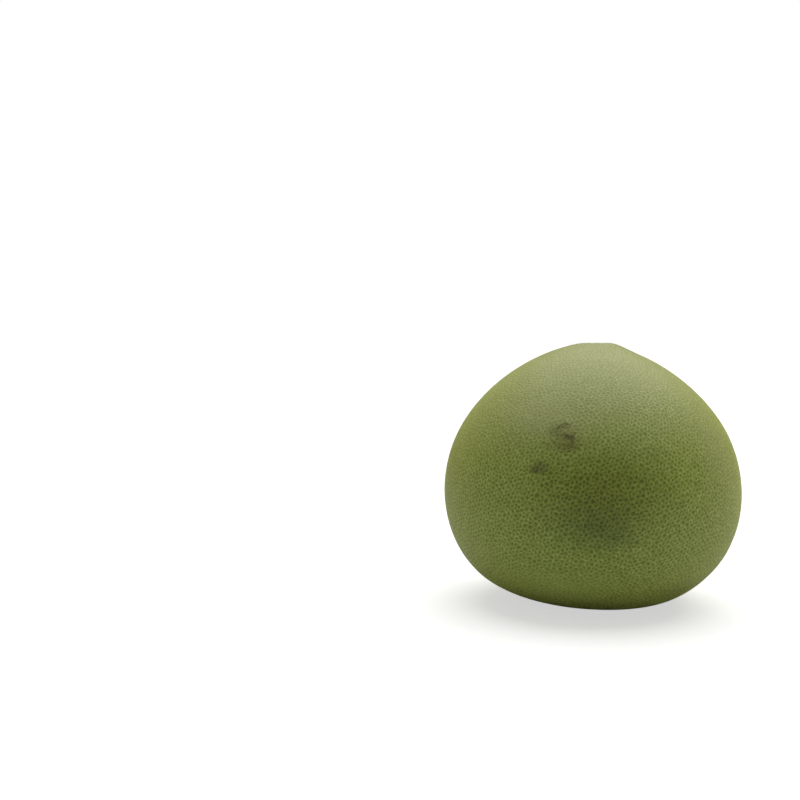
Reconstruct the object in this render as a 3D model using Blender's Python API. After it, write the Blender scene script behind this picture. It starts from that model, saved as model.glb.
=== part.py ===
"""Pomelo: one whole green fruit that rests on the flattened spot under its blossom end.

Run with:  blender --background --python part.py

Units are metres and +Z is up. The origin is the middle of the fruit's box, on the surface
that it rests on. The rind is one closed skin of rings, stacked from the blossom end below,
past the waist and up to the stem end, where the five-lobed calyx and the cut stem lie fused
in a small dish. Round the fruit's axis the skin follows a smooth polar curve: its distance
from the fruit's middle is a few cosine waves of the turn down from the stem end.
"""

import math

import bmesh
import bpy

# Overall form
MEAN_REACH = 0.0802      # mean distance of the skin from the fruit's middle
POLAR_WAVES = (          # (waves in a full turn from the stem end, share of the mean reach)
    (2, -0.064),
    (3, 0.044),
    (4, -0.009),
    (5, 0.008),
)
DEPTH_SHARE = 0.97       # how deep the fruit is along Y, as a share of its width along X
SWELLINGS = (            # (waves round the waist, share of the radius, turn), faint and broad
    (2, 0.0012, 0.9),
    (3, 0.0030, 0.6),
    (5, 0.0016, 2.1),
)

# The spot that the fruit rests on, and the blossom end's hollow in the middle of it
FLAT_TURN = math.radians(166)
BASE_LEAN = 0.0082       # how far off the axis the base lies, along X
BASE_LEAN_REACH = 0.070  # radius at which that lean has faded out
BLOSSOM_RADIUS = 0.0085
BLOSSOM_DEPTH = 0.0013

# The stem end, in its dish
TIP_LEAN = 0.0043        # how far off the axis the tip lies, along X
TIP_LEAN_REACH = 0.026   # radius at which that lean has faded out
NECK_RISE = 0.0019       # how far a slight neck lifts the skin round the dish
NECK_RADIUS = 0.018
DISH_RADIUS = 0.0085
DISH_DEPTH = 0.0029
CALYX_RADIUS = 0.0054    # midway between the tips of its lobes and the bays between them
CALYX_LOBES = 5
CALYX_WAVE = 0.0009      # how far its edge swings out and in of that radius
CALYX_RISE = 0.0009
STEM_RADIUS = 0.0026
STEM_RISE = 0.0007
SLOPE_WIDTH = 0.0006     # width of the calyx's and the stem's sloping edges

# Mesh
SEGMENTS = 60
BLOSSOM_RINGS = 3
SIDE_RINGS = 38

RIND_COLOUR = (0.135, 0.155, 0.045, 1.0)
RIND_ROUGHNESS = 0.48


def reach(turn):
    """Distance of the skin from the fruit's middle, at a turn down from the stem end."""
    waves = sum(share * math.cos(count * turn) for count, share in POLAR_WAVES)
    return MEAN_REACH * (1 + waves)


MIDDLE_HEIGHT = -reach(FLAT_TURN) * math.cos(FLAT_TURN)
TIP_HEIGHT = MIDDLE_HEIGHT + reach(0.0) + NECK_RISE


def bulge(radius, limit):
    """Smooth bump that is 1 on the axis and fades to 0 where the radius meets its limit."""
    return max(1 - (radius / limit) ** 2, 0.0) ** 2


def side_ring(turn):
    """Radius and height of the ring at a turn down from the stem end."""
    radius = reach(turn) * math.sin(turn)
    neck = NECK_RISE * bulge(radius, NECK_RADIUS) if turn < math.pi / 2 else 0.0
    return radius, MIDDLE_HEIGHT + reach(turn) * math.cos(turn) + neck


def dish_ring(radius, rise):
    """A ring of the stem end: its radius, its height in the dish and its five-fold wave."""
    height = side_ring(math.asin(radius / reach(0.0)))[1]
    fade = bulge(radius - CALYX_RADIUS, DISH_RADIUS - CALYX_RADIUS)
    return radius, height - DISH_DEPTH * bulge(radius, DISH_RADIUS) + rise, CALYX_WAVE * fade


def profile():
    """Rings of the skin from the blossom end to the stem end, as (radius, height, wave)."""
    rings = []
    for step in range(1, BLOSSOM_RINGS + 1):
        radius = BLOSSOM_RADIUS * step / BLOSSOM_RINGS
        rings.append((radius, BLOSSOM_DEPTH * bulge(radius, BLOSSOM_RADIUS), 0.0))

    dish_turn = math.asin(DISH_RADIUS / reach(0.0))
    for step in range(SIDE_RINGS + 1):
        turn = FLAT_TURN + (dish_turn - FLAT_TURN) * step / SIDE_RINGS
        rings.append((*side_ring(turn), 0.0))

    wall = (DISH_RADIUS - CALYX_RADIUS) / 3
    rings.append(dish_ring(DISH_RADIUS - wall, 0.0))
    rings.append(dish_ring(CALYX_RADIUS + wall, 0.0))
    rings.append(dish_ring(CALYX_RADIUS, 0.0))
    rings.append(dish_ring(CALYX_RADIUS - SLOPE_WIDTH, CALYX_RISE))
    rings.append(dish_ring((CALYX_RADIUS + STEM_RADIUS) / 2, CALYX_RISE))
    rings.append(dish_ring(STEM_RADIUS, CALYX_RISE))
    rings.append(dish_ring(STEM_RADIUS - SLOPE_WIDTH, CALYX_RISE + STEM_RISE))
    return rings


def lean(radius, height):
    """How far off the axis a ring's middle lies along X, at the base and at the tip."""
    if height < MIDDLE_HEIGHT:
        return BASE_LEAN * bulge(radius, BASE_LEAN_REACH)
    return TIP_LEAN * bulge(radius, TIP_LEAN_REACH)


def swelling(angle, height):
    """Factor on a ring's radius for the broad swellings, which fade out at both ends."""
    strength = math.sin(math.pi * min(max(height / TIP_HEIGHT, 0.0), 1.0))
    waves = sum(share * math.cos(count * angle + turn) for count, share, turn in SWELLINGS)
    return 1 + strength * waves


def skin_point(radius, height, wave, angle):
    """The skin's point at an angle round the ring of that radius, height and wave."""
    out = radius * swelling(angle, height) + wave * math.cos(CALYX_LOBES * angle)
    x = lean(radius, height) + out * math.cos(angle)
    y = out * math.sin(angle) * DEPTH_SHARE
    return x, y, height


def build_skin(mesh):
    """Fills the mesh with rings of quads, closed by a fan of triangles at each end."""
    skin = bmesh.new()
    angles = [2 * math.pi * index / SEGMENTS for index in range(SEGMENTS)]
    loops = []
    for radius, height, wave in profile():
        loops.append([skin.verts.new(skin_point(radius, height, wave, angle)) for angle in angles])
    blossom_end = skin.verts.new((BASE_LEAN, 0.0, BLOSSOM_DEPTH))
    stem_top = TIP_HEIGHT - DISH_DEPTH + CALYX_RISE + STEM_RISE
    stem_end = skin.verts.new((TIP_LEAN, 0.0, stem_top))

    for index in range(SEGMENTS):
        following = (index + 1) % SEGMENTS
        skin.faces.new((blossom_end, loops[0][following], loops[0][index]))
        skin.faces.new((stem_end, loops[-1][index], loops[-1][following]))
        for lower, upper in zip(loops, loops[1:]):
            skin.faces.new((lower[index], lower[following], upper[following], upper[index]))

    across = [vert.co.x for vert in skin.verts]
    along = [vert.co.y for vert in skin.verts]
    middle = (-(min(across) + max(across)) / 2, -(min(along) + max(along)) / 2, 0.0)
    bmesh.ops.translate(skin, vec=middle, verts=skin.verts)
    bmesh.ops.recalc_face_normals(skin, faces=skin.faces)
    skin.to_mesh(mesh)
    skin.free()


def rind_material():
    """Waxy green rind."""
    material = bpy.data.materials.new("rind")
    material.use_nodes = True
    shader = material.node_tree.nodes["Principled BSDF"]
    shader.inputs["Base Color"].default_value = RIND_COLOUR
    shader.inputs["Roughness"].default_value = RIND_ROUGHNESS
    shader.inputs["Metallic"].default_value = 0.0
    material.diffuse_color = RIND_COLOUR
    return material


def build_pomelo():
    """The fruit, as the one object named pomelo."""
    mesh = bpy.data.meshes.new("pomelo")
    build_skin(mesh)
    mesh.shade_smooth()
    mesh.materials.append(rind_material())
    pomelo = bpy.data.objects.new("pomelo", mesh)
    bpy.context.scene.collection.objects.link(pomelo)


def main():
    for leftover in list(bpy.data.objects):
        bpy.data.objects.remove(leftover, do_unlink=True)
    build_pomelo()


main()
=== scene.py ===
"""Pomelo: the finished look of a whole green fruit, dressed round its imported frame.

Every piece is in metres, +Z up, in the frame's own place. The rind is grown from thousands of
oil glands scattered evenly over the fruit's form, each a shallow pit in a paler net. The
calyx, the cut stem and the blossom end's scar are small pieces of their own, set into it.
"""

import math

import bmesh
import bpy
import numpy as np
from bpy.props import FloatProperty, FloatVectorProperty, IntProperty, PointerProperty
from bpy.types import NodeSocket, Operator, Panel, PropertyGroup
from mathutils import Matrix, Vector
from mathutils.geometry import delaunay_2d_cdt


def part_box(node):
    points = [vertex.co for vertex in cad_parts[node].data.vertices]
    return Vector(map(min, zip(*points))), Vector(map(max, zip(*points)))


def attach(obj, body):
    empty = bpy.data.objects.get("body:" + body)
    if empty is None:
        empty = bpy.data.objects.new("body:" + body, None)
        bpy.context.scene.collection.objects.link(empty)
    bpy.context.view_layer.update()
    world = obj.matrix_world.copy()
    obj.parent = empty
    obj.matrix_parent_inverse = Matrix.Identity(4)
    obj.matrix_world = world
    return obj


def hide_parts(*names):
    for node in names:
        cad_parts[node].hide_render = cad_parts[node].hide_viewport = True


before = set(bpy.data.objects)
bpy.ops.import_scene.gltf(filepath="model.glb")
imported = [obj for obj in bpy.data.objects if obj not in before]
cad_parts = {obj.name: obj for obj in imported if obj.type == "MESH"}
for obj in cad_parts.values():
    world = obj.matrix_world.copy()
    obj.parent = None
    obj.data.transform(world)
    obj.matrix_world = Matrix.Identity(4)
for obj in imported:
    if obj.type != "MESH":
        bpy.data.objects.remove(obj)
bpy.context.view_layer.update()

bl_info = {
    "name": "Pomelo",
    "version": (1, 0, 0),
    "blender": (4, 5, 0),
    "location": "3D View > Sidebar > Pomelo",
    "description": "Builds a whole green pomelo round its packed frame, and a stage to show it on",
    "category": "Add Mesh",
}

FRUIT_LOW, FRUIT_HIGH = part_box("pomelo")
WIDTH = FRUIT_HIGH.x - FRUIT_LOW.x
DEPTH = FRUIT_HIGH.y - FRUIT_LOW.y
HEIGHT = FRUIT_HIGH.z - FRUIT_LOW.z
MM = 0.001

# The fruit's form, as shares of its width. Round its axis the skin follows a polar curve: its
# distance from the fruit's middle is a few cosine waves of the turn down from the stem end.
MEAN_REACH = 0.472 * WIDTH
POLAR_WAVES = ((2, -0.064), (3, 0.044), (4, -0.009), (5, 0.008))  # (waves in a turn, share)
DEPTH_SHARE = 0.97
FLAT_TURN = math.radians(166)  # past this turn the foot is flat

# Faint swellings round the waist: (number round it, share of the radius, turn)
SWELLINGS = ((2, 0.0012, 0.9), (3, 0.0030, 0.6), (5, 0.0016, 2.1))

# How far the base and the tip lean off the axis, then the neck, the hollow and the dish
BASE_LEAN, BASE_LEAN_REACH = 0.0482 * WIDTH, 0.412 * WIDTH
TIP_LEAN, TIP_LEAN_REACH = 0.0225 * WIDTH, 0.165 * WIDTH
NECK_RISE, NECK_RADIUS = 0.0106 * WIDTH, 0.175 * WIDTH
BLOSSOM_RADIUS, BLOSSOM_DEPTH = 0.050 * WIDTH, 0.00765 * WIDTH
DISH_RADIUS, DISH_DEPTH = 0.046 * WIDTH, 0.0190 * WIDTH

# Puckers that run out of the dish: (number round it, share of their depth, turn)
PUCKERS = ((9, 0.6, 0.4), (13, 0.4, 1.7))
PUCKER_REACH = 0.16 * WIDTH

# The calyx's five lobes, the stem cut off above it and the blossom end's scar
LOBES = 5
CALYX_NOTCH, CALYX_TIP = 0.0202 * WIDTH, 0.0264 * WIDTH
CALYX_THICKNESS = 0.0029 * WIDTH
STEM_RADIUS, STEM_RISE = 0.0153 * WIDTH, 0.0041 * WIDTH
SCAR_RADIUS = 0.0135 * WIDTH

CALYX_POINTS, STEM_POINTS, SCAR_POINTS = 200, 120, 90  # points round each

# The stem's lowest rings: (share of its radius, height off the dish in mm)
STEM_FOOT = ((1.20, -0.4), (1.16, 0.7), (1.04, 1.0), (1.0, 1.4))

# The blossom scar's rings, outside to inside: (share of its radius, height off the skin in mm)
SCAR_LEVELS = (
    (1.12, 0.4),
    (1.05, -0.1),
    (0.92, -0.4),
    (0.74, -0.7),
    (0.56, -0.6),
    (0.40, -0.35),
    (0.25, -0.2),
    (0.10, -0.3),
)

GOLDEN_ANGLE = math.pi * (3 - math.sqrt(5))
RELAX_ROUNDS = 1
MERGE_DISTANCE = 0.01 * MM
BAKE_MAP = "OFBake"
MAP_MARGIN = 0.012
FLOOR_REACH = 60.0
ROOM_LIGHT = (0.04, 0.10)  # behind the camera, behind the fruit

# Unevenness of the skin, as (size, detail): grain, pale specks, thin skin and drifts of hue
SKIN_NOISES = ((0.9 * MM, 2.0), (1.1 * MM, 1.0), (4 * MM, 1.0), (45 * MM, 3.0))
NOISE_RANGE = {"From Min": 0.3, "From Max": 0.7}
SKIN_RELIEF = 0.05 * MM

# Marks, and painted light and shade, on the skin, each at a turn down from the stem end and
# an angle round from the front
RUB_PLACE = (math.radians(65.4), math.radians(-10.0))
BRUISE_PLACE = (math.radians(79.8), math.radians(-18.2))
DUSK_PLACE = (math.radians(98.2), math.radians(2.4))
# Painted highlight on the upper front
HIGHLIGHT_PLACE = (math.radians(59.0), math.radians(-21.0))
# Painted bounce light, paler low on the front
BOUNCE_LIGHT_PLACE = (math.radians(127.5), math.radians(-13.0))
# Painted shade on the left edge
LEFT_SHADE_PLACE = (math.radians(90.0), math.radians(-74.0))
# Painted pale reflection on the right flank
REFLECTION_PLACE = (math.radians(76.0), math.radians(60.0))
# Painted shade at the foot, on the right
FOOT_SHADE_PLACE = (math.radians(132.0), math.radians(48.0))

# The painted shade over the front: its middle off the dusky place and its half size, in mm
SHADE_MIDDLE, SHADE_SIZE = (4, 14), (54, 41)

# Broad patches: (place, middle and half size in mm, strength, colour, how it is laid on)
PATCHES = (
    (DUSK_PLACE, (0, -3), (27, 17), 0.68, "dusky_patch", "MULTIPLY"),
    (DUSK_PLACE, (12, -9), (13, 8), 0.3, "dusky_patch", "MULTIPLY"),
    # Painted highlight on the upper front
    (HIGHLIGHT_PLACE, (0, 0), (34, 20), 0.36, "painted_highlight", "MIX"),
    # Painted bounce light, paler low on the front
    (BOUNCE_LIGHT_PLACE, (0, 0), (46, 20), 0.40, "specks_and_bounce_light", "MIX"),
    # Painted shade on the left edge
    (LEFT_SHADE_PLACE, (0, 0), (26, 48), 0.65, "painted_shade", "MULTIPLY"),
    # Painted shade at the foot, on the right
    (FOOT_SHADE_PLACE, (3, 0), (28, 17), 1.0, "painted_shade", "MULTIPLY"),
    # Painted pale reflection on the right flank
    (REFLECTION_PLACE, (0, 0), (34, 38), 0.16, "painted_reflection", "MIX"),
)

# The rub scar's stains: (middle and half size in mm, turn, strength, colour)
RUB_STAINS = (
    ((-1.5, -1.5), (12, 10), 0.0, 0.35, "scar_colour"),
    ((0.5, -4.0), (8.0, 5.5), 0.0, 0.35, "scar_colour"),
    ((3.0, -8.0), (7.5, 4.0), 0.0, 0.60, "scar_warm"),
    ((-5.0, 0.0), (6.0, 4.0), 0.3, 0.50, "scar_colour"),
    ((2.6, -3.4), (5.8, 2.2), -0.35, 0.85, "scar_dark"),
    ((5.0, -1.5), (1.3, 1.5), 0.0, 0.60, "scar_dark"),
)

# The rub scar's curved lines: (radius in mm, the way that it bows to, strength)
RUB_LINES = (
    (3.9, 1.9, 0.7),
    (2.2, 1.6, 0.5),
    (8.6, -1.4, 0.35),
    (10.2, -1.2, 0.35),
    (11.8, -1.5, 0.35),
)
RUB_LINE_WIDTH = 0.95  # from a line's middle to its faded edge, in mm
ARC_REACH = math.radians(75)  # each way from the middle of a line
RUB_WANDER_SIZE, RUB_WANDER = 2.5, 3.0  # how closely and how far its edges wander, in mm

# The bruise's stains: (middle and half size in mm)
BRUISE_STAINS = (((0.5, 0), (7.0, 5.0)), ((-2.5, -1.5), (4.5, 2.4)))

# Scuffs: (place, half size in mm, turn of its length, strength)
SCUFFS = (
    ((math.radians(72.0), math.radians(108.0)), (9, 2.2), 0.5, 0.7),
    ((math.radians(96.0), math.radians(151.0)), (5, 3.5), 0.0, 0.6),
    ((math.radians(81.0), math.radians(-142.0)), (12, 1.8), -0.3, 0.6),
    ((math.radians(112.0), math.radians(-97.0)), (7, 5), 0.2, 0.5),
    ((math.radians(40.0), math.radians(170.0)), (6, 2.5), 1.0, 0.5),
)


def linear(code):
    """Linear red, green and blue of an sRGB hex colour."""
    shades = [int(code[place : place + 2], 16) / 255 for place in (1, 3, 5)]
    return tuple(s / 12.92 if s <= 0.04045 else ((s + 0.055) / 1.055) ** 2.4 for s in shades)


def swatch(name, description, code):
    """Colour that a user can change, with an sRGB hex colour as its default."""
    return FloatVectorProperty(
        name=name, description=description, default=linear(code), subtype="COLOR"
    )


def add_node(tree, kind, inputs=None, **settings):
    """Adds a node with its settings. inputs maps a socket to a value, or to a socket to link."""
    node = tree.nodes.new(kind)
    for name, value in settings.items():
        setattr(node, name, value)
    for socket, value in (inputs or {}).items():
        if isinstance(value, NodeSocket):
            tree.links.new(value, node.inputs[socket])
        else:
            node.inputs[socket].default_value = value
    return node


# ---------------------------------------------------------------- form


def bulge(radius, limit):
    """Smooth bump that is 1 on the axis and fades to 0 where the radius meets its limit."""
    return np.clip(1 - (radius / limit) ** 2, 0, None) ** 2


def reach(turns):
    """Distance of the skin from the fruit's middle, at turns down from the stem end."""
    return MEAN_REACH * (1 + sum(share * np.cos(count * turns) for count, share in POLAR_WAVES))


MIDDLE_HEIGHT = float(-reach(FLAT_TURN) * math.cos(FLAT_TURN))
TIP_HEIGHT = MIDDLE_HEIGHT + float(reach(0.0)) + NECK_RISE


def raw_skin(turns, angles, pucker=0.0):
    """Points of the skin before it is centred, at turns down from the stem and angles round."""
    turns, angles = np.broadcast_arrays(np.asarray(turns, float), np.asarray(angles, float))
    on_flat = turns > FLAT_TURN
    radii = np.where(on_flat, -MIDDLE_HEIGHT * np.tan(turns), reach(turns) * np.sin(turns))
    heights = np.where(on_flat, 0.0, MIDDLE_HEIGHT + reach(turns) * np.cos(turns))
    waves = sum(share * np.cos(count * angles + turn) for count, share, turn in SWELLINGS)
    spread = 1 + waves * np.sin(np.pi * np.clip(heights / TIP_HEIGHT, 0, 1))

    below = heights < MIDDLE_HEIGHT
    lean = np.where(
        below, BASE_LEAN * bulge(radii, BASE_LEAN_REACH), TIP_LEAN * bulge(radii, TIP_LEAN_REACH)
    )
    folds = sum(share * np.cos(count * angles + turn) for count, share, turn in PUCKERS)
    fade = bulge(radii, PUCKER_REACH) * (1 - bulge(radii, DISH_RADIUS))
    top = NECK_RISE * bulge(radii, NECK_RADIUS) - DISH_DEPTH * bulge(radii, DISH_RADIUS)
    top = top + pucker * fade * (folds - 1) / 2
    heights = heights + np.where(below, BLOSSOM_DEPTH * bulge(radii, BLOSSOM_RADIUS), top)
    across = lean + radii * spread * np.cos(angles)
    along = radii * spread * np.sin(angles) * DEPTH_SHARE
    return np.stack([across, along, heights], axis=-1)


def placement():
    """Scale and shift that fit the form to the frame's box."""
    turns, angles = np.meshgrid(np.radians(np.arange(60, 125, 1.0)), np.radians(np.arange(360)))
    sides = raw_skin(turns, angles).reshape(-1, 3)
    low, high = sides.min(axis=0), sides.max(axis=0)
    scale = min(WIDTH / (high[0] - low[0]), DEPTH / (high[1] - low[1]), 1.0)
    middle = np.array([FRUIT_LOW.x + FRUIT_HIGH.x, FRUIT_LOW.y + FRUIT_HIGH.y]) / 2
    return scale, np.append(middle - scale * (low + high)[:2] / 2, 0.0)


SKIN_SCALE, SKIN_SHIFT = placement()


def skin(turns, angles, pucker=0.0):
    """Points of the skin in the frame's place."""
    return raw_skin(turns, angles, pucker) * SKIN_SCALE + SKIN_SHIFT


def skin_near_axis(radii, angles, below=False):
    """Skin's points at small radii from the axis, at the stem end or at the blossom end."""
    if below:
        turns = np.pi - np.arctan2(radii, MIDDLE_HEIGHT)
    else:
        turns = np.arcsin(radii / float(reach(0.0)))
    return skin(turns, angles)


def axis_point(below=False):
    """The skin's point on the axis, at the stem end or at the blossom end."""
    return skin_near_axis(np.array(0.0), np.array(0.0), below)


def face_outwards(mesh):
    """Turns a closed mesh's faces outwards."""
    tidy = bmesh.new()
    tidy.from_mesh(mesh)
    bmesh.ops.recalc_face_normals(tidy, faces=tidy.faces)
    tidy.to_mesh(mesh)
    tidy.free()


def ring_solid(name, rings, first, last):
    """Closed mesh through rings of points, each end closed round a middle point."""
    count = len(rings[0])
    points = np.concatenate([*rings, [first], [last]])
    around = [(spot, (spot + 1) % count) for spot in range(count)]
    faces = [(len(points) - 2, b, a) for a, b in around]
    for level in range(len(rings) - 1):
        low, high = level * count, (level + 1) * count
        faces += [(low + a, low + b, high + b, high + a) for a, b in around]
    top = (len(rings) - 1) * count
    faces += [(len(points) - 1, top + a, top + b) for a, b in around]
    mesh = bpy.data.meshes.new(name)
    mesh.from_pydata(points.tolist(), [], faces)
    face_outwards(mesh)
    mesh.polygons.foreach_set("use_smooth", [True] * len(mesh.polygons))
    return mesh


# ---------------------------------------------------------------- glands


def sphere_faces(points):
    """Delaunay triangles of points on the unit sphere, laid flat from its top and closed there."""
    flat = points[:, :2] / (1 - points[:, 2:])
    found = delaunay_2d_cdt([Vector(spot) for spot in flat.tolist()], [], [], 0, 0.0)
    origins = [source[0] for source in found[3]]
    faces = [tuple(origins[corner] for corner in face) for face in found[2]]
    edges = {pair for face in faces for pair in zip(face, face[1:] + face[:1])}
    following = {end: start for start, end in edges if (end, start) not in edges}
    first = min(following)
    rim = [first]
    while following[rim[-1]] != first:
        rim.append(following[rim[-1]])
    return np.array(faces + [(first, a, b) for a, b in zip(rim[1:], rim[2:])])


def gland_directions(count, jitter, seed):
    """Unit vectors scattered evenly but without order, and the triangles between them."""
    index = np.arange(count) + 0.5
    height = 1 - 2 * index / count
    ring = np.sqrt(1 - height**2)
    turn = index * GOLDEN_ANGLE
    points = np.stack([ring * np.cos(turn), ring * np.sin(turn), height], 1)
    spacing = math.sqrt(4 * math.pi / count)
    points += np.random.default_rng(seed).normal(0, jitter * spacing, points.shape)
    points /= np.linalg.norm(points, axis=1, keepdims=True)
    for _ in range(RELAX_ROUNDS):
        faces = sphere_faces(points)
        starts = faces.ravel()
        ends = np.roll(faces, -1, axis=1).ravel()
        sums = points * 2
        np.add.at(sums, starts, points[ends])
        points = sums / np.linalg.norm(sums, axis=1, keepdims=True)
    return points, sphere_faces(points)


def gland_mesh(settings):
    """Mesh with a vertex on the skin at each gland's middle, joined in triangles."""
    area = 4 * math.pi * MEAN_REACH**2
    count = int(area / (settings.spacing**2 * math.sqrt(3) / 2))
    points, faces = gland_directions(count, settings.jitter, settings.seed)
    turns = np.arccos(np.clip(points[:, 2], -1, 1))
    angles = np.arctan2(points[:, 1], points[:, 0])
    mesh = bpy.data.meshes.new("glands")
    mesh.from_pydata(skin(turns, angles, settings.pucker).tolist(), [], faces.tolist())
    face_outwards(mesh)
    return mesh


def gland_tree():
    """Geometry nodes: a cell round each gland, sunk into a pit that leaves the net standing."""
    tree = bpy.data.node_groups.new("Oil glands", "GeometryNodeTree")
    tree.interface.new_socket("Geometry", in_out="OUTPUT", socket_type="NodeSocketGeometry")
    tree.interface.new_socket("Geometry", in_out="INPUT", socket_type="NodeSocketGeometry")
    for name, kind in (
        ("Unevenness", "NodeSocketFloat"),
        ("Swell size", "NodeSocketFloat"),
        ("Pit depth", "NodeSocketFloat"),
        ("Spread", "NodeSocketFloat"),
        ("Seed", "NodeSocketInt"),
        ("Material", "NodeSocketMaterial"),
    ):
        tree.interface.new_socket(name, in_out="INPUT", socket_type=kind)
    given = tree.nodes.new("NodeGroupInput").outputs

    # Broad unevenness, inwards only, and none at the foot, where the fruit stands flat
    cells = add_node(tree, "GeometryNodeDualMesh", {"Mesh": given["Geometry"]})
    position = add_node(tree, "GeometryNodeInputPosition")
    per_metre = add_node(tree, "ShaderNodeMath", {0: 1.0, 1: given["Swell size"]}, operation="DIVIDE")
    swell = add_node(
        tree,
        "ShaderNodeTexNoise",
        {"Vector": position.outputs[0], "Scale": per_metre.outputs[0], "Detail": 1.0},
    )
    apart = add_node(tree, "ShaderNodeSeparateXYZ", {0: position.outputs[0]})
    off_ground = add_node(
        tree,
        "ShaderNodeMapRange",
        {"Value": apart.outputs["Z"], "From Min": 0.5 * MM, "From Max": 8 * MM},
        interpolation_type="SMOOTHSTEP",
    )
    amount = add_node(
        tree, "ShaderNodeMath", {0: swell.outputs[0], 1: off_ground.outputs[0]}, operation="MULTIPLY"
    )
    inwards = add_node(
        tree, "ShaderNodeMath", {0: given["Unevenness"], 1: -1.0}, operation="MULTIPLY"
    )
    amount = add_node(
        tree, "ShaderNodeMath", {0: amount.outputs[0], 1: inwards.outputs[0]}, operation="MULTIPLY"
    )
    normal = add_node(tree, "GeometryNodeInputNormal")
    offset = add_node(
        tree,
        "ShaderNodeVectorMath",
        {0: normal.outputs[0], "Scale": amount.outputs[0]},
        operation="SCALE",
    )
    uneven = add_node(
        tree, "GeometryNodeSetPosition", {"Geometry": cells.outputs[0], "Offset": offset.outputs[0]}
    )

    # Each cell keeps a random tone, which also sets how deep its pit is. gland is 0 on the net
    # and 1 at the middle of a pit, where its floor shrinks to a point
    tone = add_node(
        tree,
        "FunctionNodeRandomValue",
        {"Min": 0.0, "Max": 1.0, "Seed": given["Seed"]},
        data_type="FLOAT",
    )
    toned = add_node(
        tree,
        "GeometryNodeStoreNamedAttribute",
        {"Geometry": uneven.outputs[0], "Name": "tone", "Value": tone.outputs["Value"]},
        data_type="FLOAT",
        domain="FACE",
    )
    read_tone = add_node(
        tree, "GeometryNodeInputNamedAttribute", {"Name": "tone"}, data_type="FLOAT"
    )
    low = add_node(tree, "ShaderNodeMath", {0: 1.0, 1: given["Spread"]}, operation="SUBTRACT")
    high = add_node(tree, "ShaderNodeMath", {0: 1.0, 1: given["Spread"]}, operation="ADD")
    vary = add_node(
        tree,
        "ShaderNodeMapRange",
        {"Value": read_tone.outputs[0], "To Min": low.outputs[0], "To Max": high.outputs[0]},
    )
    sink = add_node(tree, "ShaderNodeMath", {0: given["Pit depth"], 1: -1.0}, operation="MULTIPLY")
    sink = add_node(
        tree, "ShaderNodeMath", {0: sink.outputs[0], 1: vary.outputs[0]}, operation="MULTIPLY"
    )
    pits = add_node(
        tree,
        "GeometryNodeExtrudeMesh",
        {"Mesh": toned.outputs[0], "Offset Scale": sink.outputs[0], "Individual": True},
        mode="FACES",
    )
    marked = add_node(
        tree,
        "GeometryNodeStoreNamedAttribute",
        {"Geometry": pits.outputs["Mesh"], "Name": "gland", "Value": pits.outputs["Top"]},
        data_type="FLOAT",
        domain="POINT",
    )
    floors = add_node(
        tree,
        "GeometryNodeScaleElements",
        {"Geometry": marked.outputs[0], "Selection": pits.outputs["Top"], "Scale": 0.0},
        domain="FACE",
    )
    bowls = add_node(
        tree,
        "GeometryNodeMergeByDistance",
        {"Geometry": floors.outputs[0], "Selection": pits.outputs["Top"], "Distance": MERGE_DISTANCE},
    )

    # Each pit is smooth inside, and its edges crease where it meets the next one
    smooth = add_node(tree, "GeometryNodeSetShadeSmooth", {"Geometry": bowls.outputs[0]})
    read_gland = add_node(
        tree, "GeometryNodeInputNamedAttribute", {"Name": "gland"}, data_type="FLOAT"
    )
    on_net = add_node(
        tree, "FunctionNodeCompare", {0: read_gland.outputs[0], 1: 0.25}, operation="LESS_THAN"
    )
    smooth = add_node(
        tree,
        "GeometryNodeSetShadeSmooth",
        {"Geometry": smooth.outputs[0], "Selection": on_net.outputs[0], "Shade Smooth": False},
        domain="EDGE",
    )
    real = add_node(tree, "GeometryNodeRealizeInstances", {"Geometry": smooth.outputs[0]})
    clad = add_node(
        tree,
        "GeometryNodeSetMaterial",
        {"Geometry": real.outputs[0], "Material": given["Material"]},
    )
    add_node(tree, "NodeGroupOutput", {"Geometry": clad.outputs[0]})
    return tree


def grown_mesh(name, source, tree, values):
    """The plain mesh that a geometry nodes tree makes of a source mesh, with these inputs."""
    grower = bpy.data.objects.new(name, source)
    bpy.context.scene.collection.objects.link(grower)
    modifier = grower.modifiers.new("grow", "NODES")
    modifier.node_group = tree
    for item in tree.interface.items_tree:
        if item.in_out == "INPUT" and item.name in values:
            modifier[item.identifier] = values[item.name]
    evaluated = grower.evaluated_get(bpy.context.evaluated_depsgraph_get())
    mesh = bpy.data.meshes.new_from_object(evaluated)
    grower.modifiers.remove(modifier)
    bpy.data.objects.remove(grower)
    mesh.name = name
    return mesh


def octahedral_map(mesh):
    """One square map of the whole fruit, with its seams down the lower half, for baked colours."""
    spots = np.empty(len(mesh.vertices) * 3, np.float32)
    mesh.vertices.foreach_get("co", spots)
    rays = spots.reshape(-1, 3) - np.array([0, 0, MIDDLE_HEIGHT])
    rays /= np.abs(rays).sum(axis=1, keepdims=True)
    corners = np.empty(len(mesh.loops), np.int32)
    mesh.loops.foreach_get("vertex_index", corners)
    sizes = np.empty(len(mesh.polygons), np.int32)
    mesh.polygons.foreach_get("loop_total", sizes)
    owner = np.repeat(np.arange(len(sizes)), sizes)
    middles = np.empty(len(mesh.polygons) * 3, np.float32)
    mesh.polygons.foreach_get("center", middles)
    sides = np.where(middles.reshape(-1, 3)[:, :2] >= 0, 1.0, -1.0)[owner]
    ray = rays[corners]
    folded = (1 - (ray[:, :2] * sides)[:, ::-1]) * sides
    square = np.where(ray[:, 2:] >= 0, ray[:, :2], folded)
    layer = mesh.uv_layers.new(name=BAKE_MAP)
    layer.data.foreach_set("uv", (0.5 + square * (0.5 - MAP_MARGIN)).ravel())


# ---------------------------------------------------------------- materials


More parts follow.
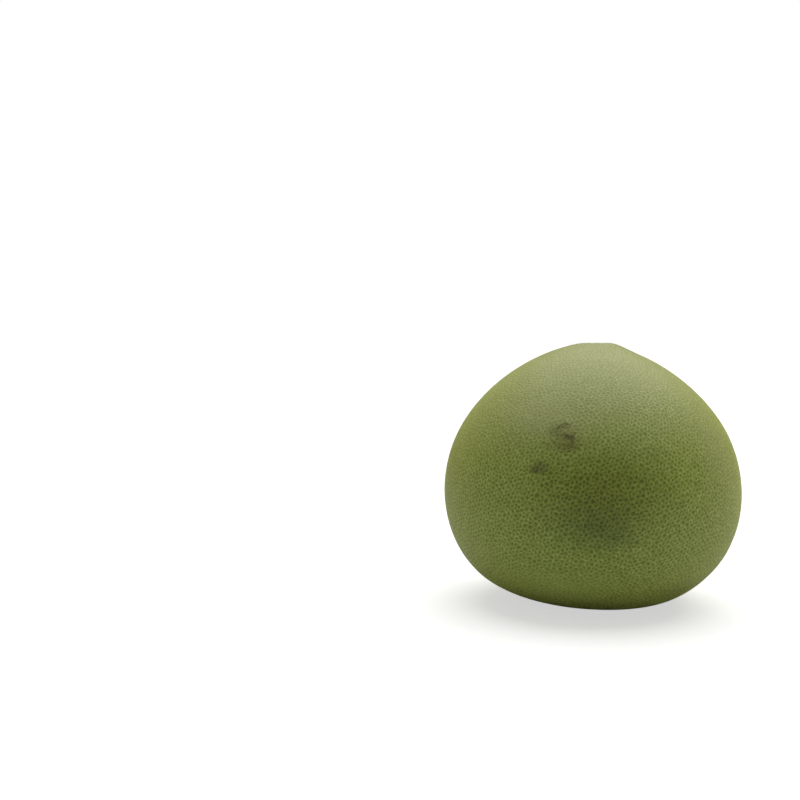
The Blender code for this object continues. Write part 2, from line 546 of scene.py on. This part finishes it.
def local_frame(place):
    """Location and rotation of a flat frame on the skin: X to the right, Y up, Z outwards."""
    turn, from_front = place
    angle = from_front - math.pi / 2
    middle = Vector(skin(turn, angle))
    right = Vector(skin(turn, angle + 0.01)) - Vector(skin(turn, angle - 0.01))
    up = Vector(skin(turn - 0.01, angle)) - Vector(skin(turn + 0.01, angle))
    outwards = right.cross(up).normalized()
    right.normalize()
    axes = Matrix((right, outwards.cross(right), outwards)).transposed()
    return middle, axes.to_euler()


def laid_flat(tree, place, mark):
    """Places on the skin near a mark, in mm across, up and out from it."""
    middle, turned = local_frame(mark)
    return add_node(
        tree,
        "ShaderNodeMapping",
        {"Vector": place, "Location": middle, "Rotation": turned, "Scale": (MM, MM, MM)},
        vector_type="TEXTURE",
    ).outputs[0]


def blot(tree, local, middle, size, turn=0.0, softness=0.8):
    """1 inside an oval mark, fading to 0 at its edge. Its middle and half size are in mm."""
    oval = add_node(
        tree,
        "ShaderNodeMapping",
        {"Vector": local, "Location": (*middle, 0), "Rotation": (0, 0, turn), "Scale": (*size, 40)},
        vector_type="TEXTURE",
    ).outputs[0]
    distance = add_node(tree, "ShaderNodeVectorMath", {0: oval}, operation="LENGTH")
    return add_node(
        tree,
        "ShaderNodeMapRange",
        {"Value": distance.outputs["Value"], "From Min": 1.0, "From Max": 1.0 - softness},
        interpolation_type="SMOOTHSTEP",
    ).outputs[0]


def arc(tree, local, middle, radius, width, side):
    """1 along a thin arc. side is the way that it bows to, and its sizes are in mm."""
    moved = add_node(
        tree, "ShaderNodeVectorMath", {0: local, 1: (*middle, 0)}, operation="SUBTRACT"
    ).outputs[0]
    flat = add_node(
        tree, "ShaderNodeVectorMath", {0: moved, 1: (1, 1, 0)}, operation="MULTIPLY"
    ).outputs[0]
    length = add_node(tree, "ShaderNodeVectorMath", {0: flat}, operation="LENGTH").outputs["Value"]
    off = add_node(tree, "ShaderNodeMath", {0: length, 1: radius}, operation="SUBTRACT").outputs[0]
    off = add_node(tree, "ShaderNodeMath", {0: off}, operation="ABSOLUTE").outputs[0]
    line = add_node(
        tree,
        "ShaderNodeMapRange",
        {"Value": off, "From Min": width, "From Max": width * 0.2},
        interpolation_type="SMOOTHSTEP",
    ).outputs[0]
    way = add_node(tree, "ShaderNodeVectorMath", {0: flat}, operation="NORMALIZE").outputs[0]
    bow = (math.cos(side), math.sin(side), 0)
    facing = add_node(tree, "ShaderNodeVectorMath", {0: way, 1: bow}, operation="DOT_PRODUCT")
    ends = add_node(
        tree,
        "ShaderNodeMapRange",
        {
            "Value": facing.outputs["Value"],
            "From Min": math.cos(ARC_REACH),
            "From Max": math.cos(ARC_REACH * 0.5),
        },
        interpolation_type="SMOOTHSTEP",
    ).outputs[0]
    return add_node(tree, "ShaderNodeMath", {0: line, 1: ends}, operation="MULTIPLY").outputs[0]


def stain(tree, base, mask, strength, colour, blend="MIX"):
    """Base colour with another laid over it, or multiplied with it, where the mask is 1."""
    amount = add_node(tree, "ShaderNodeMath", {0: mask, 1: strength}, operation="MULTIPLY")
    return add_node(
        tree,
        "ShaderNodeMix",
        {0: amount.outputs[0], 6: base, 7: (*colour, 1)},
        data_type="RGBA",
        blend_type=blend,
    ).outputs[2]


def new_material(name):
    """A fresh material, its nodes and the shader among them."""
    material = bpy.data.materials.new(name)
    material.use_nodes = True
    tree = material.node_tree
    return material, tree, tree.nodes["Principled BSDF"]


def rind_material(look):
    """Pomelo rind, waxy as picked: dark oil glands show through a paler yellow-green net, and
    the wax spreads highlights into a broad sheen that pales the green towards the edges."""
    material, tree, shader = new_material("waxy citrus rind")
    place = add_node(tree, "ShaderNodeTexCoord").outputs["Object"]
    gland = add_node(tree, "ShaderNodeAttribute", attribute_name="gland").outputs["Fac"]
    tone = add_node(tree, "ShaderNodeAttribute", attribute_name="tone").outputs["Fac"]
    grain, speck, thin, drift = [
        add_node(
            tree, "ShaderNodeTexNoise", {"Vector": place, "Scale": 1 / size, "Detail": detail}
        ).outputs[0]
        for size, detail in SKIN_NOISES
    ]

    # Grain frays each gland's edge, and a gland shows wider where the skin is thin
    edge = gland
    for noise, least, most in ((grain, -0.36, 0.36), (thin, -0.08, 0.12)):
        shift = add_node(
            tree,
            "ShaderNodeMapRange",
            {"Value": noise, **NOISE_RANGE, "To Min": least, "To Max": most},
        ).outputs[0]
        edge = add_node(tree, "ShaderNodeMath", {0: edge, 1: shift}, operation="ADD").outputs[0]
    begins = add_node(
        tree, "ShaderNodeMapRange", {"Value": tone, "To Min": 0.36, "To Max": 0.04}
    ).outputs[0]
    dot = add_node(
        tree,
        "ShaderNodeMapRange",
        {"Value": edge, "From Min": begins, "From Max": 0.84},
        interpolation_type="SMOOTHSTEP",
    ).outputs[0]

    # The net drifts in hue and has pale specks; towards the stem, painted overhead light
    # pales the skin and paints glints on its specks
    drift = add_node(tree, "ShaderNodeMapRange", {"Value": drift, **NOISE_RANGE}).outputs[0]
    speck = add_node(
        tree,
        "ShaderNodeMapRange",
        {"Value": speck, "From Min": 0.42, "From Max": 0.66, "To Max": 0.85},
    ).outputs[0]
    height = add_node(tree, "ShaderNodeSeparateXYZ", {0: place}).outputs["Z"]
    painted_light_mask = add_node(
        tree,
        "ShaderNodeMapRange",
        {"Value": height, "From Min": 0.5 * HEIGHT, "From Max": HEIGHT, "To Max": 0.7},
        interpolation_type="SMOOTHSTEP",
    ).outputs[0]
    net, pit, light = [
        add_node(
            tree, "ShaderNodeMix", {0: share, 6: (*first, 1), 7: (*second, 1)}, data_type="RGBA"
        ).outputs[2]
        for share, first, second in (
            (drift, look.net_colour, look.net_warm),
            (tone, look.gland_colour, look.gland_deep),
            (painted_light_mask, look.specks_and_bounce_light, look.painted_top_glints),
        )
    ]
    net = stain(tree, net, painted_light_mask, 1.0, look.painted_top_light)
    pit = stain(tree, pit, painted_light_mask, 1.0, look.painted_top_light)
    net = add_node(tree, "ShaderNodeMix", {0: speck, 6: net, 7: light}, data_type="RGBA").outputs[2]

    # Painted shade darkens the middle of the front, and the glands show more within it
    shade_mask = blot(tree, laid_flat(tree, place, DUSK_PLACE), SHADE_MIDDLE, SHADE_SIZE, softness=0.95)
    shaded = add_node(tree, "ShaderNodeMapRange", {"Value": shade_mask, "To Min": 0.85}).outputs[0]
    spot = add_node(tree, "ShaderNodeMath", {0: dot, 1: shaded}, operation="MULTIPLY").outputs[0]
    green = add_node(tree, "ShaderNodeMix", {0: spot, 6: net, 7: pit}, data_type="RGBA").outputs[2]
    green = stain(tree, green, shade_mask, 1.0, look.painted_shade, "MULTIPLY")
    mottled = add_node(
        tree,
        "ShaderNodeMapRange",
        {"Value": grain, **NOISE_RANGE, "To Min": 0.86, "To Max": 1.14},
    ).outputs[0]
    green = add_node(
        tree, "ShaderNodeVectorMath", {0: green, "Scale": mottled}, operation="SCALE"
    ).outputs[0]

    # Darker patches just below the middle of the front, then painted light and shade: a highlight
    # above them, bounce light low on the front, a pale reflection on the right, shade on the left and
    # the foot
    for mark, middle, size, strength, tint, blend in PATCHES:
        mask = blot(tree, laid_flat(tree, place, mark), middle, size, softness=0.95)
        green = stain(tree, green, mask, strength, getattr(look, tint), blend)

    # Rub scar: a twig's thin curved lines, a dark smudge and brown haze, all with frayed edges
    local = laid_flat(tree, place, RUB_PLACE)
    wander = add_node(
        tree, "ShaderNodeTexNoise", {"Vector": local, "Scale": 1 / RUB_WANDER_SIZE, "Detail": 2.0}
    ).outputs["Color"]
    wander = add_node(
        tree, "ShaderNodeVectorMath", {0: wander, 1: (0.5, 0.5, 0.5)}, operation="SUBTRACT"
    ).outputs[0]
    wander = add_node(
        tree, "ShaderNodeVectorMath", {0: wander, "Scale": RUB_WANDER}, operation="SCALE"
    ).outputs[0]
    frayed = add_node(
        tree, "ShaderNodeVectorMath", {0: local, 1: wander}, operation="ADD"
    ).outputs[0]
    for middle, size, turn, strength, tint in RUB_STAINS:
        mask = blot(tree, frayed, middle, size, turn, 0.75)
        green = stain(tree, green, mask, strength, getattr(look, tint), "MULTIPLY")
    for radius, side, strength in RUB_LINES:
        line = arc(tree, frayed, (0.0, 0.2), radius, RUB_LINE_WIDTH, side)
        green = stain(tree, green, line, strength, look.scar_dark, "MULTIPLY")

    # Bruise, lower and further round
    local = laid_flat(tree, place, BRUISE_PLACE)
    for middle, size in BRUISE_STAINS:
        mask = blot(tree, local, middle, size)
        green = stain(tree, green, mask, 1.0, look.bruise_shade, "MULTIPLY")

    # Faint scuffs round the sides and back, where the fruit knocked against others in its box
    for mark, size, turn, strength in SCUFFS:
        mask = blot(tree, laid_flat(tree, place, mark), (0, 0), size, turn, 0.9)
        green = stain(tree, green, mask, strength, look.scar_warm, "MULTIPLY")

    # The dots sink a little more than the pits do, and the grain roughens the skin
    depth = add_node(
        tree, "ShaderNodeMath", {0: dot, 1: -SKIN_RELIEF}, operation="MULTIPLY"
    ).outputs[0]
    fine = add_node(
        tree, "ShaderNodeMath", {0: grain, 1: SKIN_RELIEF}, operation="MULTIPLY"
    ).outputs[0]
    relief = add_node(tree, "ShaderNodeMath", {0: depth, 1: fine}, operation="ADD").outputs[0]
    bump = add_node(tree, "ShaderNodeBump", {"Height": relief, "Distance": 1.0, "Strength": 1.0})
    roughness = add_node(
        tree, "ShaderNodeMapRange", {"Value": dot, "To Min": 0.43, "To Max": 0.50}
    ).outputs[0]
    tree.links.new(green, shader.inputs["Base Color"])
    tree.links.new(roughness, shader.inputs["Roughness"])
    tree.links.new(bump.outputs[0], shader.inputs["Normal"])
    shader.inputs["IOR"].default_value = 1.38
    shader.inputs["Sheen Weight"].default_value = 0.52
    shader.inputs["Sheen Roughness"].default_value = 0.7
    shader.inputs["Sheen Tint"].default_value = (*look.sheen_colour, 1)
    return material


def plain_material(name, colour, roughness, grain_mm, depth_mm, dark=0.75):
    """Matt surface with a grain of that size and depth, darker in the grain's hollows."""
    material, tree, shader = new_material(name)
    place = add_node(tree, "ShaderNodeTexCoord").outputs["Object"]
    grain = add_node(
        tree, "ShaderNodeTexNoise", {"Vector": place, "Scale": 1 / (grain_mm * MM), "Detail": 3.0}
    ).outputs[0]
    shade = tuple(channel * dark for channel in colour)
    tint = add_node(
        tree, "ShaderNodeMix", {0: grain, 6: (*shade, 1), 7: (*colour, 1)}, data_type="RGBA"
    ).outputs[2]
    height = add_node(
        tree, "ShaderNodeMath", {0: grain, 1: depth_mm * MM}, operation="MULTIPLY"
    ).outputs[0]
    bump = add_node(tree, "ShaderNodeBump", {"Height": height, "Distance": 1.0, "Strength": 1.0})
    tree.links.new(tint, shader.inputs["Base Color"])
    tree.links.new(bump.outputs[0], shader.inputs["Normal"])
    shader.inputs["Roughness"].default_value = roughness
    return material


def calyx_material(look):
    """Calyx dried on the fruit: a dull, leathery olive, darker in its fine grain's hollows."""
    return plain_material("dried leathery calyx", look.calyx_colour, 0.7, 0.7, 0.12)


def bark_material(look):
    """Bark of a thin citrus twig: matt and grey-brown, with a fine rough grain."""
    return plain_material("thin twig bark", look.bark_colour, 0.85, 0.5, 0.15)


def cut_wood_material(look, middle):
    """Citrus wood cut with shears and dried: pale, with fine rays out of a darker pith."""
    material = plain_material("dried cut citrus wood", look.wood_colour, 0.8, 0.3, 0.05)
    tree = material.node_tree
    shader = tree.nodes["Principled BSDF"]
    wood = shader.inputs["Base Color"].links[0].from_socket
    place = add_node(tree, "ShaderNodeTexCoord").outputs["Object"]
    local = add_node(tree, "ShaderNodeVectorMath", {0: place, 1: middle}, operation="SUBTRACT")
    flat = add_node(
        tree, "ShaderNodeVectorMath", {0: local.outputs[0], 1: (1, 1, 0)}, operation="MULTIPLY"
    )
    radius = add_node(tree, "ShaderNodeVectorMath", {0: flat.outputs[0]}, operation="LENGTH")
    pith = add_node(
        tree,
        "ShaderNodeMapRange",
        {"Value": radius.outputs["Value"], "From Min": 0.9 * MM, "From Max": 0.3 * MM},
        interpolation_type="SMOOTHSTEP",
    ).outputs[0]
    rim = add_node(
        tree,
        "ShaderNodeMapRange",
        {"Value": radius.outputs["Value"], "From Min": 2.0 * MM, "From Max": 2.6 * MM},
        interpolation_type="SMOOTHSTEP",
    ).outputs[0]
    way = add_node(
        tree, "ShaderNodeVectorMath", {0: flat.outputs[0]}, operation="NORMALIZE"
    ).outputs[0]
    rays = add_node(
        tree, "ShaderNodeTexNoise", {"Vector": way, "Scale": 9.0, "Detail": 2.0}
    ).outputs[0]
    rays = add_node(
        tree,
        "ShaderNodeMapRange",
        {"Value": rays, "From Min": 0.45, "From Max": 0.62, "To Max": 0.45},
    ).outputs[0]
    pith_tone = (*look.pith_colour, 1)
    tint = add_node(
        tree, "ShaderNodeMix", {0: rays, 6: wood, 7: pith_tone}, data_type="RGBA"
    ).outputs[2]
    tint = add_node(
        tree, "ShaderNodeMix", {0: rim, 6: tint, 7: (*look.bark_colour, 1)}, data_type="RGBA"
    ).outputs[2]
    tint = add_node(
        tree, "ShaderNodeMix", {0: pith, 6: tint, 7: pith_tone}, data_type="RGBA"
    ).outputs[2]
    tree.links.new(tint, shader.inputs["Base Color"])
    return material


def scar_material(look):
    """Cork that closed over the fallen blossom: dry, brown and rough."""
    return plain_material("blossom scar cork", look.cork_colour, 0.9, 0.8, 0.25, 0.5)


def floor_material(look):
    """Matt white studio paper. The camera sees it a little brighter than it is lit, so that it
    meets the backdrop."""
    material, tree, shader = new_material("matt white studio paper")
    shader.inputs["Base Color"].default_value = (*look.floor_colour, 1)
    shader.inputs["Roughness"].default_value = 0.9
    shader.inputs["Emission Color"].default_value = (1, 1, 1, 1)
    seen = add_node(tree, "ShaderNodeLightPath").outputs["Is Camera Ray"]
    lift = add_node(tree, "ShaderNodeMath", {0: seen, 1: look.floor_lift}, operation="MULTIPLY")
    tree.links.new(lift.outputs[0], shader.inputs["Emission Strength"])
    return material


# ---------------------------------------------------------------- settings


class PomeloRindSettings(PropertyGroup):
    """How the glands lie, and the rind's colours"""

    spacing: FloatProperty(
        name="Gland spacing",
        description="Distance from one oil gland to the next",
        default=2.38 * MM,
        subtype="DISTANCE",
    )
    jitter: FloatProperty(
        name="Jitter",
        description="How far the glands are thrown off an even order, as a share of their spacing",
        default=0.24,
        subtype="FACTOR",
    )
    seed: IntProperty(name="Seed", description="Seed of the glands' scatter", default=7)
    pit_depth: FloatProperty(
        name="Pit depth",
        description="How deep a gland's pit lies below the net",
        default=0.12 * MM,
        subtype="DISTANCE",
    )
    pit_spread: FloatProperty(
        name="Pit spread",
        description="How much the pits differ in depth",
        default=0.3,
        subtype="FACTOR",
    )
    unevenness: FloatProperty(
        name="Unevenness",
        description="How deep the rind's broad hollows are",
        default=0.35 * MM,
        subtype="DISTANCE",
    )
    swell_size: FloatProperty(
        name="Swell size",
        description="How far apart the rind's broad hollows lie",
        default=22 * MM,
        subtype="DISTANCE",
    )
    pucker: FloatProperty(
        name="Pucker",
        description="How deep the folds run out from the stem's dish",
        default=0.4 * MM,
        subtype="DISTANCE",
    )
    net_colour: swatch("Net", "Rind between the glands", "#8EA242")
    net_warm: swatch("Warm net", "Rind between the glands where the fruit yellows", "#98A446")
    # Colour of the net's pale specks, also laid on as painted bounce light low on the front
    specks_and_bounce_light: swatch("Light net", "Specks where the net stands proud and pale, and painted bounce light low on the front", "#C0D072")
    gland_colour: swatch("Gland", "Oil gland under a thick skin", "#5E7600")
    gland_deep: swatch("Deep gland", "Oil gland under a thin skin", "#506400")
    # Painted light: the skin pales towards the top, where the overhead light falls
    painted_top_light: swatch("Shoulder", "Painted overhead light that pales the skin towards the stem", "#B2B880")
    painted_top_glints: swatch(
        "Painted glints", "Painted glints where the net stands proud towards the stem", "#C8CC98"
    )
    # Painted shade: darker across the middle of the front, on the left edge and at the foot
    painted_shade: swatch(
        "Painted shade", "Painted shade over the middle of the front, the left edge and the foot", "#CACCA4"
    )
    dusky_patch: swatch(
        "Dusky patch", "How the skin's colour deepens in patches just below the middle of the front", "#B2BE9E"
    )
    # Painted highlight: a pale, grey patch on the upper front
    painted_highlight: swatch("Painted highlight", "Painted pale highlight on the upper front", "#BCBE8C")
    # Painted reflection: greyer and paler on the right flank
    painted_reflection: swatch("Painted reflection", "Painted grey reflection on the right flank", "#AAA6A2")
    scar_colour: swatch("Rub scar", "How skin rubbed by a twig while it grew dulls", "#B9B2B2")
    scar_warm: swatch(
        "Scar haze", "How the thin brown cork below the rub scar dulls the skin", "#C8B8A4"
    )
    scar_dark: swatch("Scar line", "How the deepest part of the rub scar darkens", "#7E7874")
    bruise_shade: swatch("Bruise", "How the bruise greys and darkens the skin", "#C6C0D4")
    sheen_colour: swatch("Bloom", "Wax bloom that pales the skin at a low angle", "#FAFC90")


class PomeloStemSettings(PropertyGroup):
    """Colours of the calyx, the cut stem and the blossom scar"""

    calyx_colour: swatch("Calyx", "Dried calyx", "#7D7C50")
    bark_colour: swatch("Bark", "Bark of the stem", "#6F6548")
    wood_colour: swatch("Cut wood", "Cut face of the stem, dried", "#B49B6C")
    pith_colour: swatch("Pith", "Middle of the cut face", "#6B4F2E")
    cork_colour: swatch("Cork", "Blossom end's scar", "#6A5132")


class PomeloStageSettings(PropertyGroup):
    """The camera's place and the studio's light"""

    distance: FloatProperty(
        name="Distance",
        description="From the camera to the fruit's axis, along the floor",
        default=0.6211,
        subtype="DISTANCE",
    )
    eye_height: FloatProperty(
        name="Eye height",
        description="Height of the camera above the surface",
        default=0.1494,
        subtype="DISTANCE",
    )
    pitch: FloatProperty(
        name="Pitch",
        description="How far the camera looks down",
        default=math.radians(3.107),
        subtype="ANGLE",
    )
    yaw: FloatProperty(
        name="Yaw",
        description="How far the camera is turned to the left of the fruit",
        default=math.radians(10.292),
        subtype="ANGLE",
    )
    lens: FloatProperty(
        name="Lens",
        description="Focal length on a 36 mm sensor",
        default=47.25,
        subtype="DISTANCE_CAMERA",
    )
    key_strength: FloatProperty(
        name="Key strength", description="Strength of the soft light overhead", default=2.49
    )
    key_size: FloatProperty(
        name="Key size",
        description="Angle that the soft light spans, seen from the fruit",
        default=math.radians(76),
        subtype="ANGLE",
    )
    key_tilt: FloatProperty(
        name="Key tilt",
        description="How far the soft light stands off straight overhead",
        default=math.radians(20),
        subtype="ANGLE",
    )
    key_side: FloatProperty(
        name="Key side",
        description="Where the soft light stands, round from the back to the right",
        default=math.radians(17),
        subtype="ANGLE",
    )
    backdrop: FloatProperty(
        name="Backdrop", description="Brightness of the backdrop", default=1.0
    )
    floor_lift: FloatProperty(
        name="Floor lift", description="How much brighter the floor looks than it is lit", default=0.6
    )
    floor_colour: swatch("Floor", "Pale floor", "#E2E2E0")


# ---------------------------------------------------------------- pieces


def add_piece(name, mesh):
    """Puts a finished mesh in the scene as a piece that stands for the fruit's solid."""
    piece = bpy.data.objects.new(name, mesh)
    bpy.context.scene.collection.objects.link(piece)
    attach(piece, "root")
    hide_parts("pomelo")
    return piece


class POMELO_OT_rind(Operator):
    """Grow the rind with its oil glands"""

    bl_idname = "pomelo.rind"
    bl_label = "Rind"

    def execute(self, context):
        settings = context.scene.pomelo_rind
        values = {
            "Unevenness": settings.unevenness,
            "Swell size": settings.swell_size,
            "Pit depth": settings.pit_depth,
            "Spread": settings.pit_spread,
            "Seed": settings.seed,
            "Material": rind_material(settings),
        }
        mesh = grown_mesh("rind", gland_mesh(settings), gland_tree(), values)
        octahedral_map(mesh)
        add_piece("rind", mesh)
        return {"FINISHED"}


class POMELO_OT_calyx(Operator):
    """Lay the dried five-lobed calyx in the stem's dish"""

    bl_idname = "pomelo.calyx"
    bl_label = "Calyx"

    def execute(self, context):
        # Rounded lobes, no two quite alike, each with a rib, and fine creases across them all
        angles = np.linspace(0, 2 * np.pi, CALYX_POINTS, endpoint=False)
        lobe = (0.5 + 0.5 * np.cos(LOBES * angles)) ** 0.75
        uneven = 1 + 0.05 * np.cos(2 * angles + 1.1) + 0.04 * np.cos(3 * angles + 0.2)
        outline = (CALYX_NOTCH + (CALYX_TIP - CALYX_NOTCH) * lobe) * uneven
        rib = np.exp(-((np.sin(LOBES * angles / 2) / 0.22) ** 2))
        creases = 0.5 * np.cos(35 * angles + 2 * np.cos(3 * angles)) + 0.3 * np.cos(60 * angles)

        def ring(share, rise):
            points = skin_near_axis(outline * share, angles)
            points[:, 2] += rise
            return points

        # Its underside sinks into the skin, and its top swells, most along the lobes' ribs
        rings = [ring(0.88, -0.6 * MM), ring(0.97, -0.2 * MM), ring(1.0, 0.1 * MM)]
        for share in np.linspace(0.985, 0.30, 22):
            swell = (1 - share**3.5) ** 0.5
            body = CALYX_THICKNESS * (0.25 + 0.75 * swell) * (1 - 0.25 * (1 - share))
            rise = 0.15 * MM + body
            relief = 0.16 * MM * rib * share + 0.07 * MM * creases * share * (0.3 + swell)
            rings.append(ring(share, rise * (0.55 + 0.45 * lobe) + relief))
        middle = axis_point()
        low = middle - np.array([0, 0, 1.2 * MM])
        high = middle + np.array([0, 0, CALYX_THICKNESS])
        mesh = ring_solid("calyx", rings, low, high)
        mesh.materials.append(calyx_material(context.scene.pomelo_stem))
        add_piece("calyx", mesh)
        return {"FINISHED"}


class POMELO_OT_stem(Operator):
    """Stand the cut stump of the stem in the calyx"""

    bl_idname = "pomelo.stem"
    bl_label = "Cut stem"

    def execute(self, context):
        settings = context.scene.pomelo_stem
        angles = np.linspace(0, 2 * np.pi, STEM_POINTS, endpoint=False)
        bark = 0.030 * np.cos(11 * angles + 0.6) + 0.022 * np.cos(17 * angles + 2)
        bark = bark + 0.02 * np.cos(2 * angles)
        middle = axis_point()
        floor = float(middle[2])
        top = floor + CALYX_THICKNESS + STEM_RISE
        tilt = 0.035 * np.cos(angles - 0.8) * STEM_RADIUS

        def ring(width, height, rough):
            radii = STEM_RADIUS * width * (1 + rough * bark)
            across = middle[0] + radii * np.cos(angles)
            along = middle[1] + radii * np.sin(angles)
            return np.stack([across, along, np.broadcast_to(height, angles.shape)], axis=-1)

        rings = [ring(width, floor + height * MM, 1.0) for width, height in STEM_FOOT]
        rings.append(ring(0.985, top - 0.22 * MM, 0.8))
        rings.append(ring(0.95, top - 0.06 * MM - np.abs(tilt), 0.6))
        cut_from = len(rings)
        for width in np.linspace(0.90, 0.08, 12):
            pith = 0.12 * MM * math.exp(-((width / 0.16) ** 2))
            saucer = 0.16 * MM * (1 - width**4) + pith
            rays = 0.03 * MM * np.cos(24 * angles + 3 * width) * width
            rings.append(ring(width, top - 0.02 * MM - saucer - np.abs(tilt) + rays, 0.3))
        first = middle - np.array([0, 0, 0.8 * MM])
        last = np.array([middle[0], middle[1], top - 0.34 * MM])
        mesh = ring_solid("stem", rings, first, last)
        mesh.materials.append(bark_material(settings))
        mesh.materials.append(cut_wood_material(settings, Vector(last)))
        cut_faces = len(angles) * cut_from
        indices = [int(spot >= cut_faces) for spot in range(len(mesh.polygons))]
        mesh.polygons.foreach_set("material_index", indices)
        add_piece("stem", mesh)
        return {"FINISHED"}


class POMELO_OT_blossom_scar(Operator):
    """Set the corky scar in the hollow under the fruit"""

    bl_idname = "pomelo.blossom_scar"
    bl_label = "Blossom scar"

    def execute(self, context):
        angles = np.linspace(0, 2 * np.pi, SCAR_POINTS, endpoint=False)
        rough = 1 + 0.06 * np.cos(3 * angles + 1) + 0.05 * np.cos(7 * angles)
        rough = rough + 0.03 * np.cos(13 * angles + 2)
        rings = []
        for width, rise in SCAR_LEVELS:
            points = skin_near_axis(SCAR_RADIUS * width * rough, angles, below=True)
            points[:, 2] += rise * MM * (1 + 0.1 * np.cos(5 * angles + width * 4))
            rings.append(points)
        middle = axis_point(below=True)
        first = middle + np.array([0, 0, 0.6 * MM])
        last = middle - np.array([0, 0, 0.35 * MM])
        mesh = ring_solid("blossom_scar", rings, first, last)
        mesh.materials.append(scar_material(context.scene.pomelo_stem))
        add_piece("blossom_scar", mesh)
        return {"FINISHED"}


class POMELO_OT_stage(Operator):
    """Lay the floor, hang the light and place the camera"""

    bl_idname = "pomelo.stage"
    bl_label = "Stage"

    def execute(self, context):
        settings = context.scene.pomelo_stage
        scene = context.scene
        sides = ((-1, -1), (1, -1), (1, 1), (-1, 1))
        corners = [(x * FLOOR_REACH, y * FLOOR_REACH, 0) for x, y in sides]
        mesh = bpy.data.meshes.new("floor")
        mesh.from_pydata(corners, [], [(0, 1, 2, 3)])
        mesh.materials.append(floor_material(settings))
        floor = bpy.data.objects.new("floor", mesh)
        scene.collection.objects.link(floor)

        key = bpy.data.lights.new("overhead key", "SUN")
        key.energy = settings.key_strength
        key.angle = settings.key_size
        lamp = bpy.data.objects.new("overhead key", key)
        tilt, round_from_back = settings.key_tilt, settings.key_side
        way = Vector((math.sin(round_from_back), math.cos(round_from_back), 1 / math.tan(tilt)))
        lamp.rotation_euler = way.to_track_quat("Z", "Y").to_euler()
        scene.collection.objects.link(lamp)

        # Dim room, dimmest behind the camera. The camera sees a backdrop as pale as the floor
        world = bpy.data.worlds.new("studio")
        world.use_nodes = True
        tree = world.node_tree
        way = add_node(tree, "ShaderNodeTexCoord").outputs["Generated"]
        apart = add_node(tree, "ShaderNodeSeparateXYZ", {0: way})
        behind = add_node(
            tree,
            "ShaderNodeMapRange",
            {
                "Value": apart.outputs["Y"],
                "From Min": -0.6,
                "From Max": 0.6,
                "To Min": ROOM_LIGHT[0],
                "To Max": ROOM_LIGHT[1],
            },
            interpolation_type="SMOOTHSTEP",
        ).outputs[0]
        seen = add_node(tree, "ShaderNodeLightPath").outputs["Is Camera Ray"]
        level = add_node(tree, "ShaderNodeMix", {0: seen, 2: behind, 3: settings.backdrop}).outputs[0]
        tree.nodes["Background"].inputs["Color"].default_value = (1, 1, 1, 1)
        tree.links.new(level, tree.nodes["Background"].inputs["Strength"])
        scene.world = world

        lens = bpy.data.cameras.new("camera")
        lens.sensor_width = 36
        lens.lens = settings.lens
        camera = bpy.data.objects.new("camera", lens)
        camera.location = (0, -settings.distance, settings.eye_height)
        camera.rotation_euler = (math.pi / 2 - settings.pitch, 0, settings.yaw)
        scene.collection.objects.link(camera)
        scene.camera = camera
        scene.view_settings.view_transform = "Standard"
        return {"FINISHED"}


class POMELO_PT_pieces(Panel):
    """Buttons for each piece of the pomelo and its stage"""

    bl_label = "Pomelo"
    bl_idname = "POMELO_PT_pieces"
    bl_space_type = "VIEW_3D"
    bl_region_type = "UI"
    bl_category = "Pomelo"

    def draw(self, context):
        for operator in OPERATORS:
            self.layout.operator(operator.bl_idname)


OPERATORS = (
    POMELO_OT_rind,
    POMELO_OT_calyx,
    POMELO_OT_stem,
    POMELO_OT_blossom_scar,
    POMELO_OT_stage,
)
SETTINGS = (PomeloRindSettings, PomeloStemSettings, PomeloStageSettings)
CLASSES = (*SETTINGS, *OPERATORS, POMELO_PT_pieces)


def register():
    for item in CLASSES:
        bpy.utils.register_class(item)
    bpy.types.Scene.pomelo_rind = PointerProperty(type=PomeloRindSettings)
    bpy.types.Scene.pomelo_stem = PointerProperty(type=PomeloStemSettings)
    bpy.types.Scene.pomelo_stage = PointerProperty(type=PomeloStageSettings)


def unregister():
    del bpy.types.Scene.pomelo_stage
    del bpy.types.Scene.pomelo_stem
    del bpy.types.Scene.pomelo_rind
    for item in reversed(CLASSES):
        bpy.utils.unregister_class(item)


def main():
    register()
    bpy.ops.pomelo.rind()
    bpy.ops.pomelo.calyx()
    bpy.ops.pomelo.stem()
    bpy.ops.pomelo.blossom_scar()
    bpy.ops.pomelo.stage()


if __name__ == "__main__":
    main()
